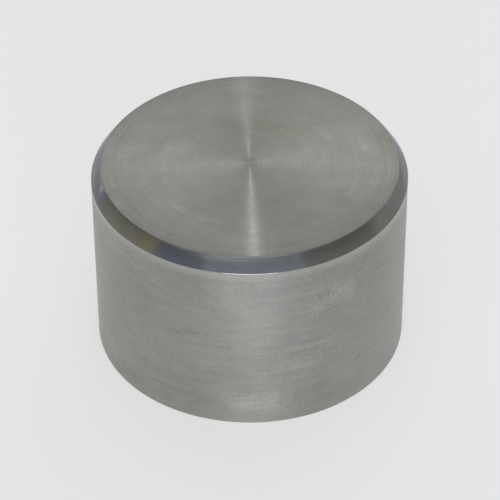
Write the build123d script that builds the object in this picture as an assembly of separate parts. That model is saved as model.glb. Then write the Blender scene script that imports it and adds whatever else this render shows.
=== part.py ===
from build123d import *
from build123d.topology import SkipClean

import os
from math import cos, radians, sin, tan

# Threaded pipe cap, NPS 2 1/2 (DN 65), class 3000. Millimetres.
# Origin at the centre of the open end face, +Z towards the closed end.

# outside
OUTER_DIA = 92.0
HEIGHT = 60.0
TOP_FACE_DIA = 86.4  # where the flat end meets the chamfer
CHAMFER_HEIGHT = 3.9
EDGE_RADIUS = 0.4  # light break on the outside edges
TOP_EDGE_RADIUS = 0.6  # softer corner between the flat end and the chamfer
PIP_DIA = 1.0  # lathe centre pip in the flat end
PIP_DEPTH = 0.25

# inside
END_WALL = 16.0
POCKET_CORNER_RADIUS = 3.0
RELIEF_START = 30.5  # run-out groove at the inner end of the thread
RELIEF_END = 35.0
RELIEF_CORNER_RADIUS = 0.6
MOUTH_DIA = 76.2  # 45 degree countersink at the open end

# parallel pipe thread Rp 2 1/2 (ISO 7-1), right hand, crests bored flat
PITCH = 25.4 / 11
MAJOR_DIA = 75.184
BORE_DIA = 72.55
HALF_ANGLE = radians(27.5)
SHARP_HEIGHT = 0.960491 * PITCH
ROOT_RADIUS = 0.137329 * PITCH

# construction
TOOL_OVERLAP = 0.25  # how far the groove tool stands inside the bore
TOOL_RUN_OUT = 1.1  # how far it runs on into the relief groove
RELIEF_DIA = MAJOR_DIA + 0.6
QUARTER_TURNS = (0, 90)  # the crest land is cut into quarter turns on these planes

OUTER_R = OUTER_DIA / 2
BORE_R = BORE_DIA / 2
RELIEF_R = RELIEF_DIA / 2
POCKET_DEPTH = HEIGHT - END_WALL


def turned_body():
    """The body as turned, bored out to the relief diameter where the thread goes."""
    outline = [
        (RELIEF_R, 0),
        (OUTER_R, 0),
        (OUTER_R, HEIGHT - CHAMFER_HEIGHT),
        (TOP_FACE_DIA / 2, HEIGHT),
        (PIP_DIA / 2, HEIGHT),
        (0, HEIGHT - PIP_DEPTH),
        (0, POCKET_DEPTH),
        (BORE_R, POCKET_DEPTH),
        (BORE_R, RELIEF_END),
        (RELIEF_R, RELIEF_END),
    ]
    section = make_face(Polyline(*outline, close=True))
    section = rounded(section, outline[1:3], EDGE_RADIUS)
    section = rounded(section, outline[3:4], TOP_EDGE_RADIUS)
    section = rounded(section, outline[7:8], POCKET_CORNER_RADIUS)
    section = rounded(section, outline[9:10], RELIEF_CORNER_RADIUS)
    return revolve(Plane.XZ * section, Axis.Z)


def rounded(section, corners, radius):
    """The section with the corners at these points given a radius."""
    picked = [v for v in section.vertices() if any(abs(v.X - x) + abs(v.Y - y) < 1e-6 for x, y in corners)]
    return fillet(picked, radius)


def thread_form():
    """Section of one Whitworth groove, standing slightly inside the bore."""
    apex_r = MAJOR_DIA / 2 + SHARP_HEIGHT / 6
    inner_r = BORE_R - TOOL_OVERLAP
    half_width = (apex_r - inner_r) * tan(HALF_ANGLE)
    centre_r = apex_r - ROOT_RADIUS / sin(HALF_ANGLE)
    flank_r = centre_r + ROOT_RADIUS * sin(HALF_ANGLE)
    flank_z = ROOT_RADIUS * cos(HALF_ANGLE)
    z = -PITCH
    start, end = (inner_r, 0, z - half_width), (inner_r, 0, z + half_width)
    low, high = (flank_r, 0, z - flank_z), (flank_r, 0, z + flank_z)
    root = (centre_r + ROOT_RADIUS, 0, z)
    form = make_face([Line(start, low), ThreePointArc(low, root, high), Line(high, end), Line(end, start)])
    return form, centre_r


def thread_groove():
    """The helical groove, running from below the mouth into the relief groove."""
    form, radius = thread_form()
    length = PITCH + RELIEF_START + TOOL_RUN_OUT
    return sweep(form, path=Helix(PITCH, length, radius, center=(0, 0, -PITCH)), is_frenet=True)


def upright(radius, height, z=0):
    return Pos(0, 0, z) * Cylinder(radius, height, align=(Align.CENTER, Align.CENTER, Align.MIN))


def threaded_sleeve():
    """The material that carries the thread, in four quarters."""
    pieces = [upright(RELIEF_R, RELIEF_START) - upright(BORE_R, RELIEF_START + 2, -1) - thread_groove()]
    for angle in QUARTER_TURNS:
        across = (cos(radians(angle)), sin(radians(angle)), 0)
        plane = Plane(origin=(0, 0, 0), x_dir=(0, 0, 1), z_dir=across)
        pieces = [half for piece in pieces for half in piece.split(plane, keep=Keep.BOTH)]
    return pieces


def pipe_cap():
    # merging faces again would join the quarters of the crest land, so it is left off here
    with SkipClean():
        cap = turned_body().fuse(*threaded_sleeve())
        mouth_r = MOUTH_DIA / 2
        countersink = Cone(mouth_r, mouth_r - 4, 4, align=(Align.CENTER, Align.CENTER, Align.MIN))
        return cap - countersink


os.makedirs("parts", exist_ok=True)
export_step(pipe_cap(), "parts/cap_body.step")
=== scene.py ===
import bmesh
import bpy
from math import cos, pi, radians, sin, tan
from mathutils import Matrix, Vector


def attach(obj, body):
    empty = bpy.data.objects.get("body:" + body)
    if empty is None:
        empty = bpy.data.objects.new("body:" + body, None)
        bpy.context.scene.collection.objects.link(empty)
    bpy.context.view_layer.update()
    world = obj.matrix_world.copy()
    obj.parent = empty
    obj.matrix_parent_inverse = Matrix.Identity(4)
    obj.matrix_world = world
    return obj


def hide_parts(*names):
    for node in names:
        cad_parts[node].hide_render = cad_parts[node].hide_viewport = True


MM = 0.001

# the cap's own dimensions in millimetres, the same as in the CAD
OUTER_R, HEIGHT = 46.0, 60.0
TOP_FACE_R, CHAMFER_HEIGHT = 43.2, 3.9
EDGE_R, TOP_EDGE_R = 0.4, 0.6
PIP_R, PIP_DEPTH = 0.5, 0.25
POCKET_DEPTH, POCKET_CORNER = 44.0, 3.0
RELIEF_START, RELIEF_END, RELIEF_CORNER = 30.5, 35.0, 0.6
MOUTH_R = 38.1
PITCH = 25.4 / 11
MAJOR_R, BORE_R = 37.592, 36.275
RELIEF_R = MAJOR_R + 0.3
HALF_ANGLE = radians(27.5)
ROOT_R = 0.137329 * PITCH
APEX_R = MAJOR_R + 0.960491 * PITCH / 6

CROWN = 0.06  # the bevel bulges by this much between its edges
BEVEL_RISE = (-0.6, 0.8)  # the way up the bevel, as its outward and upward parts
GUARD = 0.04  # how far a guard point stands from the end of a rounded corner

AROUND = 288  # columns of the lathe mesh
SHARP_ANGLE = 32  # degrees between faces that are shaded as a hard edge

FLOOR_HALF_SIDE = 1.5  # metres
FLOOR_DROP = 0.0001  # metres, so that the floor and the cap's foot don't share a plane

# light scuffs on the end face: radius in mm, degrees from the front, half width, half span, strength
SCUFFS = (
    (25.0, -88, 1.6, 34, 0.13),
    (29.0, -32, 1.3, 22, 0.156),
    (32.0, 66, 1.0, 9, 0.156),
    (37.0, 78, 1.2, 12, 0.156),
    (34.0, 96, 1.6, 16, 0.156),
    (26.0, 118, 1.4, 22, 0.104),
)
# marks on the side: height in mm, degrees, half width, half span, rise in mm per degree, strength
SCRATCHES = (
    (21.4, -19.0, 0.22, 8, 0.075, 0.22),
    (20.6, -18.0, 0.16, 7, 0.060, 0.16),
    (22.2, -15.0, 0.14, 4, 0.080, 0.18),
    (31.0, -28.0, 1.30, 4, 0.0, -0.22),
    (32.3, -21.5, 1.20, 4, 0.0, -0.18),
    (21.5, 17.0, 3.20, 11, 0.0, 0.20),
    (43.0, 31.0, 7.00, 12, 0.0, 0.26),
    (50.5, -52.0, 5.00, 22, 0.0, 0.16),
    (8.0, 2.0, 5.00, 15, 0.0, 0.20),
    (9.0, -58.0, 6.00, 14, 0.0, 0.16),
    (27.0, 20.0, 1.40, 12, 0.0, 0.14),
    (46.5, -66.0, 0.20, 4, -0.60, 0.20),
    (53.0, -34.0, 0.90, 1, 0.0, -0.25),
)


# ---------------------------------------------------------------- shape

def rounded(before, corner, after, radius, steps):
    """Points along a radius at a corner, with a guard point just outside each end of it."""
    a, c, b = Vector(before), Vector(corner), Vector(after)
    u, w = (a - c).normalized(), (b - c).normalized()
    half = u.angle(w) / 2
    length = radius / tan(half)
    centre = c + (u + w).normalized() * (radius / sin(half))
    start, end = c + u * length, c + w * length
    s, e = start - centre, end - centre
    sweep = s.angle_signed(e)
    arc = []
    for i in range(steps + 1):
        turn = Matrix.Rotation(-sweep * i / steps, 2)
        arc.append(tuple(centre + turn @ s))
    return [tuple(start + u * GUARD)] + arc + [tuple(end + w * GUARD)]


def crowned(start, end, bulge, shares):
    """Points between two corners, on a line that bulges outwards by this much at its middle."""
    a, b = Vector(start), Vector(end)
    out = Vector((a.y - b.y, b.x - a.x)).normalized()
    return [tuple(a.lerp(b, t) + out * (4 * bulge * t * (1 - t))) for t in shares]


def outer_profile():
    """(radius, height) from the middle of the closed end round to the inner edge of the open end face."""
    face, bevel = (TOP_FACE_R, HEIGHT), (OUTER_R, HEIGHT - CHAMFER_HEIGHT)
    foot, mouth = (OUTER_R, 0.0), (MOUTH_R, 0.0)
    points = [(0, HEIGHT - PIP_DEPTH), (PIP_R, HEIGHT), (PIP_R + 0.05, HEIGHT)]
    points += [(r, HEIGHT) for r in (1.5, 5, 10, 16, 22, 28, 34, 39, 42)]
    points += rounded((0, HEIGHT), face, bevel, TOP_EDGE_R, 8)
    points += crowned(face, bevel, CROWN, (0.2, 0.35, 0.5, 0.65, 0.8))
    points += rounded(face, bevel, foot, EDGE_R, 6)
    points += [(OUTER_R, z) for z in (54, 46, 38, 30, 22, 14, 6, 2)]
    points += rounded(bevel, foot, mouth, EDGE_R, 8)
    points += [(44, 0), (41, 0)]
    return points


def inner_profile():
    """(radius, height) from the inner end of the thread to the middle of the pocket floor."""
    relief, step = (RELIEF_R, RELIEF_END), (BORE_R, RELIEF_END)
    corner = (BORE_R, POCKET_DEPTH)
    points = [(RELIEF_R, 31.5), (RELIEF_R, 33)]
    points += rounded((RELIEF_R, RELIEF_START), relief, step, RELIEF_CORNER, 5)
    points += [step, (BORE_R, RELIEF_END + GUARD), (BORE_R, 38)]
    points += rounded(step, corner, (0, POCKET_DEPTH), POCKET_CORNER, 8)
    points += [(r, POCKET_DEPTH) for r in (30, 20, 10, 3)] + [(0, POCKET_DEPTH)]
    return points


def thread_section():
    """(height, radius) over one pitch of the thread, from the middle of one crest to the next."""
    def half_width(r):
        return (APEX_R - r) * tan(HALF_ANGLE)

    centre_r = APEX_R - ROOT_R / sin(HALF_ANGLE)
    flank_r = centre_r + ROOT_R * sin(HALF_ANGLE)
    flank = [BORE_R + (flank_r - BORE_R) * t for t in (0, 0.33, 0.67)]
    up = [(PITCH / 2 - half_width(r), r) for r in flank]
    span = pi / 2 - HALF_ANGLE
    root = [(PITCH / 2 + ROOT_R * sin(a), centre_r + ROOT_R * cos(a))
            for a in (span * k / 3 for k in range(-3, 4))]
    down = [(PITCH - z, r) for z, r in reversed(up)]
    return [(0, BORE_R)] + up + root + down


def thread_column(turn):
    """(radius, height) up one column of the threaded wall, which is this share of a turn round."""
    section = thread_section()
    points = []
    for k in range(-2, int(RELIEF_START / PITCH) + 3):
        for z, r in section:
            z += (k + turn) * PITCH
            if z <= 0:
                points.append((MOUTH_R, 0.0))
            elif z >= RELIEF_START:
                points.append((RELIEF_R, RELIEF_START))
            else:
                points.append((max(r, MOUTH_R - z), z))
    return points, len(section)


def lathe_mesh(name):
    """The whole cap as one closed mesh, in columns around the axis."""
    outer, inner = outer_profile(), inner_profile()
    bm = bmesh.new()
    columns = []
    for i in range(AROUND):
        thread, per_turn = thread_column(i / AROUND)
        a = 2 * pi * i / AROUND
        column = []
        for part in (outer, thread, inner):
            column.append([bm.verts.new((r * cos(a) * MM, r * sin(a) * MM, z * MM)) for r, z in part])
        columns.append(column)
    for i in range(AROUND):
        here, there = columns[i], columns[(i + 1) % AROUND]
        if i == AROUND - 1:  # one turn on, the same height is one pitch further up the list
            walls = there[1][per_turn:] + [there[1][-1]] * per_turn
            there = [there[0], walls, there[2]]
        a, b = [v for part in here for v in part], [v for part in there for v in part]
        for j in range(len(a) - 1):
            quad = []
            for v in (a[j], a[j + 1], b[j + 1], b[j]):
                if v not in quad:
                    quad.append(v)
            if len(quad) > 2:
                bm.faces.new(quad)
    bmesh.ops.remove_doubles(bm, verts=bm.verts, dist=2e-7)
    bmesh.ops.dissolve_degenerate(bm, edges=bm.edges, dist=1e-7)
    bmesh.ops.recalc_face_normals(bm, faces=bm.faces)
    mesh = bpy.data.meshes.new(name)
    bm.to_mesh(mesh)
    bm.free()
    mesh.shade_smooth()
    mesh.set_sharp_from_angle(angle=radians(SHARP_ANGLE))
    return mesh


def paint_zones(mesh, materials):
    """Gives every face the material of the surface that it belongs to."""
    for m in materials:
        mesh.materials.append(m)
    for p in mesh.polygons:
        c = p.center / MM
        r = (c.x ** 2 + c.y ** 2) ** 0.5
        if c.z > HEIGHT - 0.5 and r < TOP_FACE_R - TOP_EDGE_R / 2:
            p.material_index = 0
        elif c.z > HEIGHT - CHAMFER_HEIGHT - 0.1:
            p.material_index = 1
        elif r > MOUTH_R - 0.05 and (r > OUTER_R - 0.5 or c.z < 0.2):
            p.material_index = 2
        else:
            p.material_index = 3


# ---------------------------------------------------------------- materials

class Graph:
    """Short helpers to wire a node tree."""

    def __init__(self, tree):
        self.tree = tree

    def new(self, kind, **settings):
        n = self.tree.nodes.new("ShaderNode" + kind)
        for key, value in settings.items():
            setattr(n, key, value)
        return n

    def put(self, socket, value):
        if isinstance(value, bpy.types.NodeSocket):
            self.tree.links.new(value, socket)
        else:
            socket.default_value = value

    def feed(self, node, *values):
        for socket, value in zip(node.inputs, values):
            self.put(socket, value)
        return node.outputs[0]

    def math(self, op, *values, clamp=False):
        return self.feed(self.new("Math", operation=op, use_clamp=clamp), *values)

    def add(self, *values):
        total = values[0]
        for v in values[1:]:
            total = self.math("ADD", total, v)
        return total

    def times(self, *values):
        total = values[0]
        for v in values[1:]:
            total = self.math("MULTIPLY", total, v)
        return total

    def vector(self, x, y, z):
        return self.feed(self.new("CombineXYZ"), x, y, z)

    def ramp(self, x, low, high, start=0.0, end=1.0, kind="SMOOTHSTEP"):
        return self.feed(self.new("MapRange", interpolation_type=kind), x, low, high, start, end)

    def window(self, x, middle, half, soft):
        """1 within half of the middle, fading to 0 over soft."""
        away = self.math("ABSOLUTE", self.math("SUBTRACT", x, middle))
        return self.ramp(away, half, half + soft, 1.0, 0.0)

    def noise(self, where, scale, detail=2.0, rough=0.5, dims="3D"):
        n = self.new("TexNoise", noise_dimensions=dims)
        self.put(n.inputs["W" if dims == "1D" else "Vector"], where)
        for key, value in (("Scale", scale), ("Detail", detail), ("Roughness", rough)):
            n.inputs[key].default_value = value
        return n.outputs["Fac"]

    def swing(self, fac, amount):
        """A noise value turned into a change either way, of about this much at its strongest."""
        return self.math("MULTIPLY_ADD", fac, 2 * amount, -amount)

    def mix(self, factor, a, b, kind="MIX"):
        n = self.new("Mix", data_type="RGBA", blend_type=kind)
        for i, value in ((0, factor), (6, a), (7, b)):
            self.put(n.inputs[i], value)
        return n.outputs[2]


class Steel(Graph):
    """A bare steel surface of the turned cap, on its own cylinder coordinates."""

    def __init__(self, name, shine):
        self.material = bpy.data.materials.new(name)
        self.material.use_nodes = True
        super().__init__(self.material.node_tree)
        self.tree.nodes.clear()
        out, self.shader = self.new("OutputMaterial"), self.new("BsdfPrincipled")
        self.tree.links.new(self.shader.outputs[0], out.inputs[0])
        self.position = self.new("TexCoord").outputs["Object"]
        split = self.new("SeparateXYZ")
        self.put(split.inputs[0], self.position)
        x, y, self.height = split.outputs
        self.radius = self.math("SQRT", self.add(self.times(x, x), self.times(y, y)))
        self.turn = self.math("DEGREES", self.math("ARCTAN2", x, self.times(y, -1.0)))
        across, forward = self.math("DIVIDE", x, self.radius), self.math("DIVIDE", y, self.radius)
        self.outwards = self.vector(across, forward, 0)
        self.set(Metallic=1.0, Anisotropic=shine)
        self.shader.inputs["Anisotropic Rotation"].default_value = 0.25
        tangent = self.new("Tangent", direction_type="RADIAL", axis="Z")
        self.put(self.shader.inputs["Tangent"], tangent.outputs[0])

    def set(self, **values):
        for key, value in values.items():
            self.put(self.shader.inputs[key.replace("_", " ")], value)

    def strokes(self, along, across, around):
        """Noise drawn out around the axis: across is radius or height, in metres."""
        x, y, _ = self.split(self.outwards)
        where = self.vector(self.times(x, around), self.times(y, around), self.times(across, along))
        return self.noise(where, 1.0, 3, 0.55)

    def split(self, vector):
        n = self.new("SeparateXYZ")
        self.put(n.inputs[0], vector)
        return n.outputs

    def lean(self, direction, amount):
        """Leans the surface's normal by this much towards a direction, as the flank of a tool mark does."""
        push = self.new("VectorMath", operation="SCALE")
        self.put(push.inputs[0], direction)
        self.put(push.inputs["Scale"], amount)
        normal = self.new("NewGeometry").outputs["Normal"]
        total = self.feed(self.new("VectorMath", operation="ADD"), normal, push.outputs[0])
        self.set(Normal=self.feed(self.new("VectorMath", operation="NORMALIZE"), total))

    def mark(self, across, middle, half, turn, span, soft=0.4, slope=0.0):
        """1 on a mark that runs around the axis: half its width in metres, half its span in degrees."""
        from_middle = self.math("SUBTRACT", self.turn, turn)
        centre = self.math("MULTIPLY_ADD", from_middle, slope, middle)
        away = self.math("ABSOLUTE", self.math("SUBTRACT", across, centre))
        width = self.ramp(away, half * soft, half, 1.0, 0.0)
        return self.times(width, self.window(self.turn, turn, span * 0.5, span * 0.5))

    def tone(self, dark, light, *changes):
        """Base colour between two tones, by changes from the middle one, drifting from warm to cool."""
        shade = self.math("ADD", self.add(*changes), 0.5, clamp=True)
        drift = self.ramp(self.noise(self.position, 32, 2, 0.5), 0.3, 0.7)
        tint = self.mix(drift, (1.008, 1.0, 0.98, 1), (0.992, 1.0, 1.02, 1))
        self.set(Base_Color=self.mix(1.0, self.mix(shade, (*dark, 1), (*light, 1)), tint, "MULTIPLY"))


def turned_face():
    g = Steel("turned_end_face", 1.0)
    grooves = g.noise(g.radius, 9000, 2, 0.6, "1D")
    feed = g.noise(g.radius, 1100, 2, 0.5, "1D")
    rings = g.noise(g.radius, 320, 1, 0.5, "1D")
    arcs = g.strokes(700, g.radius, 3)
    grain = g.noise(g.position, 1300, 2, 0.6)
    blotch = g.noise(g.position, 130, 4, 0.65)
    cloud = g.noise(g.position, 34, 2, 0.5)
    near_rim = g.ramp(g.radius, 0.034, 0.0415)
    # painted shade: the face is darkened towards its edge, standing in for the dark room that the rounded
    # edge mirrors
    painted_rim_shade = g.ramp(g.radius, 0.0405, TOP_FACE_R * MM, 0.0, -0.30)
    dark_centre = g.ramp(g.radius, 0.0006, 0.0042, -0.26, 0.0)
    centre_ring = g.times(g.window(g.radius, 0.0026, 0.0002, 0.0004), 0.10)
    changes = [g.swing(feed, 0.03), g.swing(arcs, 0.10), g.swing(grain, 0.22), g.swing(blotch, 0.36),
               g.swing(cloud, 0.32), g.times(g.swing(rings, 0.16), near_rim), g.times(near_rim, -0.14),
               painted_rim_shade, dark_centre, centre_ring]
    broken = g.add(g.swing(blotch, 2), g.swing(grain, 1.2), 1)
    for radius, turn, half, span, strength in SCUFFS:
        mark = g.mark(g.radius, radius * MM, half * MM, turn, span)
        changes.append(g.times(mark, broken, strength))
    g.tone((0.322, 0.322, 0.293), (0.522, 0.515, 0.474), *changes)
    g.set(Roughness=g.add(0.19, g.swing(blotch, 0.03), g.swing(arcs, 0.02)))
    g.lean(g.outwards, g.add(g.swing(grooves, 0.34), g.swing(feed, 0.02), 0.009))
    return g.material


def bevel():
    g = Steel("polished_bevel", 0.5)
    lines = g.noise(g.height, 4500, 3, 0.6, "1D")
    arcs = g.strokes(900, g.height, 5)
    blotch = g.noise(g.position, 160, 4, 0.65)
    # corner is painted shade: the top edge's round is darkened where it mirrors the dark room, and is also
    # made rougher
    corner = g.ramp(g.radius, TOP_FACE_R * MM - 0.0001, TOP_FACE_R * MM + 0.0004, 1.0, 0.0)
    changes = [g.swing(lines, 0.06), g.swing(blotch, 0.3), g.swing(arcs, 0.3), g.times(corner, -0.35)]
    g.tone((0.28, 0.285, 0.28), (0.44, 0.445, 0.44), *changes)
    g.set(Roughness=g.add(0.13, g.swing(blotch, 0.04), g.times(corner, 0.2)))
    g.set(Specular_Tint=(0.56, 0.56, 0.6, 1))
    x, y, _ = g.split(g.outwards)
    outward, upward = BEVEL_RISE
    up = g.vector(g.times(x, outward), g.times(y, outward), upward)
    g.lean(up, g.add(g.swing(lines, 0.01), g.swing(arcs, 0.012)))
    return g.material


def turned_side():
    g = Steel("turned_side", 0.6)
    along = g.math("ADD", g.height, g.radius)  # up the side, and outwards on the open end's face
    fine = g.noise(along, 5200, 3, 0.65, "1D")
    feed = g.noise(along, 1300, 2, 0.5, "1D")
    arcs = g.strokes(620, along, 3)
    grain = g.noise(g.position, 900, 2, 0.6)
    blotch = g.noise(g.position, 110, 3, 0.5)
    cloud = g.noise(g.position, 38, 2, 0.5)
    # painted highlight: the band up to the bevel's lower edge is painted lighter for the bright line that
    # edge shows, and is also smoother
    top_edge_polish_and_painted_highlight = g.ramp(g.height, 0.0525, 0.0556)
    # painted light: the lowest 3 mm of the side is lightened, lifting the shade from the cap's own shadow on
    # the floor
    foot = g.ramp(g.height, 0.0, 0.003, 1.0, 0.0)
    changes = [g.swing(fine, 0.20), g.swing(feed, 0.12), g.swing(arcs, 0.24), g.swing(grain, 0.26),
               g.swing(blotch, 0.26), g.swing(cloud, 0.28), g.times(top_edge_polish_and_painted_highlight, 0.42), g.times(foot, 0.10)]
    broken = g.add(g.swing(grain, 1.4), g.swing(blotch, 1.6), 1)
    for height, turn, half, span, slope, strength in SCRATCHES:
        mark = g.mark(g.height, height * MM, half * MM, turn, span, 0.3, slope * MM)
        changes.append(g.times(mark, broken, strength))
    g.tone((0.256, 0.258, 0.238), (0.436, 0.433, 0.404), *changes)
    g.set(Roughness=g.add(0.42, g.swing(blotch, 0.06), g.times(top_edge_polish_and_painted_highlight, -0.06)))
    across = g.vector(*g.split(g.outwards)[:2], 1)  # only the part along the surface leans the normal
    g.lean(across, g.add(g.swing(fine, 0.10), g.swing(feed, 0.03)))
    return g.material


def bored_inside():
    g = Steel("bored_inside", 0.4)
    fine = g.noise(g.math("ADD", g.height, g.radius), 4200, 3, 0.65, "1D")
    blotch = g.noise(g.position, 90, 4, 0.6)
    arcs = g.strokes(500, g.height, 5)
    g.tone((0.3, 0.31, 0.3), (0.5, 0.5, 0.48), g.swing(fine, 0.1), g.swing(blotch, 0.3), g.swing(arcs, 0.15))
    g.set(Roughness=g.add(0.34, g.swing(blotch, 0.08)))
    g.lean((0, 0, 1), g.swing(fine, 0.06))
    return g.material


def pale_floor():
    """A pale sheet that also glows, most strongly around the cap: painted light that fills the cap's shadow
    on it.
    """
    material = bpy.data.materials.new("pale_floor")
    material.use_nodes = True
    g = Graph(material.node_tree)
    shader = g.tree.nodes["Principled BSDF"]
    soft = g.noise(g.new("TexCoord").outputs["Object"], 2.5, 3)
    g.put(shader.inputs["Base Color"], g.mix(soft, (0.60, 0.60, 0.597, 1), (0.64, 0.64, 0.64, 1)))
    away = g.new("VectorMath", operation="LENGTH")
    g.put(away.inputs[0], g.new("TexCoord").outputs["Object"])
    # painted light: the floor's glow is strongest near the cap, filling the cap's shadow
    shader.inputs["Emission Color"].default_value = (1, 1, 1, 1)
    g.put(shader.inputs["Emission Strength"], g.ramp(away.outputs["Value"], 0.18, 0.5, 0.48, 0.12))
    shader.inputs["Roughness"].default_value = 0.9
    shader.inputs["Specular IOR Level"].default_value = 0.1
    return material


# ---------------------------------------------------------------- stage, light, camera

def link(name, data, at=(0, 0, 0)):
    obj = bpy.data.objects.new(name, data)
    obj.location = at
    bpy.context.scene.collection.objects.link(obj)
    return obj


def floor():
    mesh = bpy.data.meshes.new("floor")
    s = FLOOR_HALF_SIDE
    mesh.from_pydata([(-s, -s, 0), (s, -s, 0), (s, s, 0), (-s, s, 0)], [], [(0, 1, 2, 3)])
    mesh.materials.append(pale_floor())
    return link("floor", mesh, (0, 0, -FLOOR_DROP))


def area_light(name, at, aim, size, power, colour=(1, 1, 1)):
    data = bpy.data.lights.new(name, "AREA")
    data.shape, data.size, data.size_y = "RECTANGLE", size[0], size[1]
    data.energy, data.color = power, colour
    obj = link(name, data, at)
    back = (Vector(at) - Vector(aim)).normalized()
    along = back.cross((1, 0, 0)).normalized()
    obj.rotation_euler = Matrix((along.cross(back), along, back)).transposed().to_euler()
    obj.visible_camera = False


def grey(value):
    return value, value, value


def around(g, share, stops):
    """A colour that changes with the direction round the room, in degrees from the front."""
    band = g.new("ValToRGB")
    g.put(band.inputs[0], share)
    points = band.color_ramp.elements
    while len(points) < len(stops):
        points.new(0.5)
    for point, (degrees, colour) in zip(points, stops):
        point.position = degrees / 360 + 0.5
        point.color = (*colour, 1)
    return band.outputs[0]


def studio():
    """A soft room: a light dome, darker walls in front and beside, a long narrow lamp and a low window."""
    world = bpy.data.worlds.new("studio")
    world.use_nodes = True
    bpy.context.scene.world = world
    g = Graph(world.node_tree)
    background = g.tree.nodes["Background"]
    split = g.new("SeparateXYZ")
    g.put(split.inputs[0], g.new("TexCoord").outputs["Generated"])
    x, y, z = split.outputs
    turn = g.math("ARCTAN2", x, g.times(y, -1.0))
    share = g.math("MULTIPLY_ADD", turn, 1 / (2 * pi), 0.5)
    dome = (0.56, 0.565, 0.56)
    # the walls' colour by direction, set for what the bevel mirrors
    walls = around(g, share, [
        (-180, dome), (-160, (0.88, 0.90, 0.94)), (-140, (0.62, 0.63, 0.68)), (-127, (0.30, 0.30, 0.36)),
        (-124, (0.10, 0.095, 0.16)), (-119, (0.10, 0.10, 0.087)), (-104, (0.135, 0.132, 0.11)),
        (-86, (0.165, 0.163, 0.135)), (-80, (0.195, 0.178, 0.13)), (-70, (0.26, 0.233, 0.160)),
        (-66, (0.155, 0.163, 0.196)), (-35, (0.19, 0.20, 0.24)), (-30, (0.305, 0.335, 0.385)),
        (35, (0.305, 0.335, 0.385)), (39, (0.22, 0.22, 0.205)), (74, (0.15, 0.15, 0.14)),
        (90, (0.125, 0.125, 0.117)), (104, (0.33, 0.33, 0.32)), (125, (0.44, 0.44, 0.43)),
        (150, (1.04, 1.05, 1.04)), (166, (1.0, 1.01, 1.0)), (180, dome)])
    # the walls get lighter towards the floor where this is 1
    slope = around(g, share, [
        (-180, grey(0)), (-150, grey(0)), (-125, grey(1)), (90, grey(1)), (106, grey(0)), (180, grey(0))])
    below = g.ramp(z, 0.0, 0.5, 1.3, 0.0, "LINEAR")
    fading = g.math("EXPONENT", g.times(below, slope))
    walls = g.mix(1.0, walls, g.vector(fading, fading, fading), "MULTIPLY")
    # how high the walls reach before the ceiling starts
    start = around(g, share, [
        (-180, grey(0.5)), (-110, grey(0.8)), (-72, grey(0.8)), (-58, grey(0.54)), (-38, grey(0.53)),
        (-32, grey(0.5)), (0, grey(0.55)), (20, grey(0.57)), (40, grey(0.6)), (52, grey(0.8)),
        (110, grey(0.8)), (150, grey(0.64)), (180, grey(0.5))])
    high = g.ramp(g.math("SUBTRACT", z, start), 0.0, 0.08)
    ceiling = g.mix(g.ramp(z, 0.66, 0.84), (*dome, 1), (0.40, 0.405, 0.40, 1))
    room = g.mix(high, walls, ceiling)
    in_front = g.ramp(g.math("ABSOLUTE", turn), radians(30), radians(60), 1.0, 0.0)
    skylight = g.times(g.ramp(z, 0.62, 0.76), in_front)
    g.put(background.inputs[0], g.mix(skylight, room, (0.86, 0.865, 0.86, 1)))
    background.inputs[1].default_value = 1.0
    area_light("long_lamp", (0.012, 0.42, 1.1), (0.012, 0, 0.05), (0.012, 0.5), 0.18, (0.95, 0.98, 1.06))
    area_light("low_window", (0, -1.2, 0.16), (0, 0, 0.05), (0.7, 0.2), 3.4)


def camera():
    """At away degrees above the middle of the flat end, looking down by rise degrees and slightly rolled."""
    data = bpy.data.cameras.new("camera")
    data.sensor_width, data.lens = 36.0, 182.2
    data.clip_start, data.clip_end = 0.01, 50
    top, away, rise = HEIGHT * MM, radians(37.21), radians(39.19)
    distance = 0.73274
    obj = link("camera", data, (0, -distance * cos(away), top + distance * sin(away)))
    roll = radians(-0.355)
    forward = Vector((0, cos(rise), -sin(rise)))
    right, up = Vector((1, 0, 0)), Vector((0, sin(rise), cos(rise)))
    right, up = right * cos(roll) + up * sin(roll), up * cos(roll) - right * sin(roll)
    obj.rotation_euler = Matrix((right, up, -forward)).transposed().to_euler()
    bpy.context.scene.camera = obj


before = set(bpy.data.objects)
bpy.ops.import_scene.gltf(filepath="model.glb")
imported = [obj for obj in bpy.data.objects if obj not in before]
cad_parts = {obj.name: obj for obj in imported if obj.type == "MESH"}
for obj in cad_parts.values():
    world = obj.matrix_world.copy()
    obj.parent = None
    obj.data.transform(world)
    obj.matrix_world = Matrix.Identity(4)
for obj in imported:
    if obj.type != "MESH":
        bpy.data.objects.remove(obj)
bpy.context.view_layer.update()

cap = link("pipe_cap", lathe_mesh("pipe_cap"))
paint_zones(cap.data, [turned_face(), bevel(), turned_side(), bored_inside()])
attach(cap, "root")
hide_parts("cap_body")

ground = floor()
studio()
camera()

bpy.context.scene.view_settings.view_transform = "Standard"
bpy.context.scene.view_settings.look = "None"
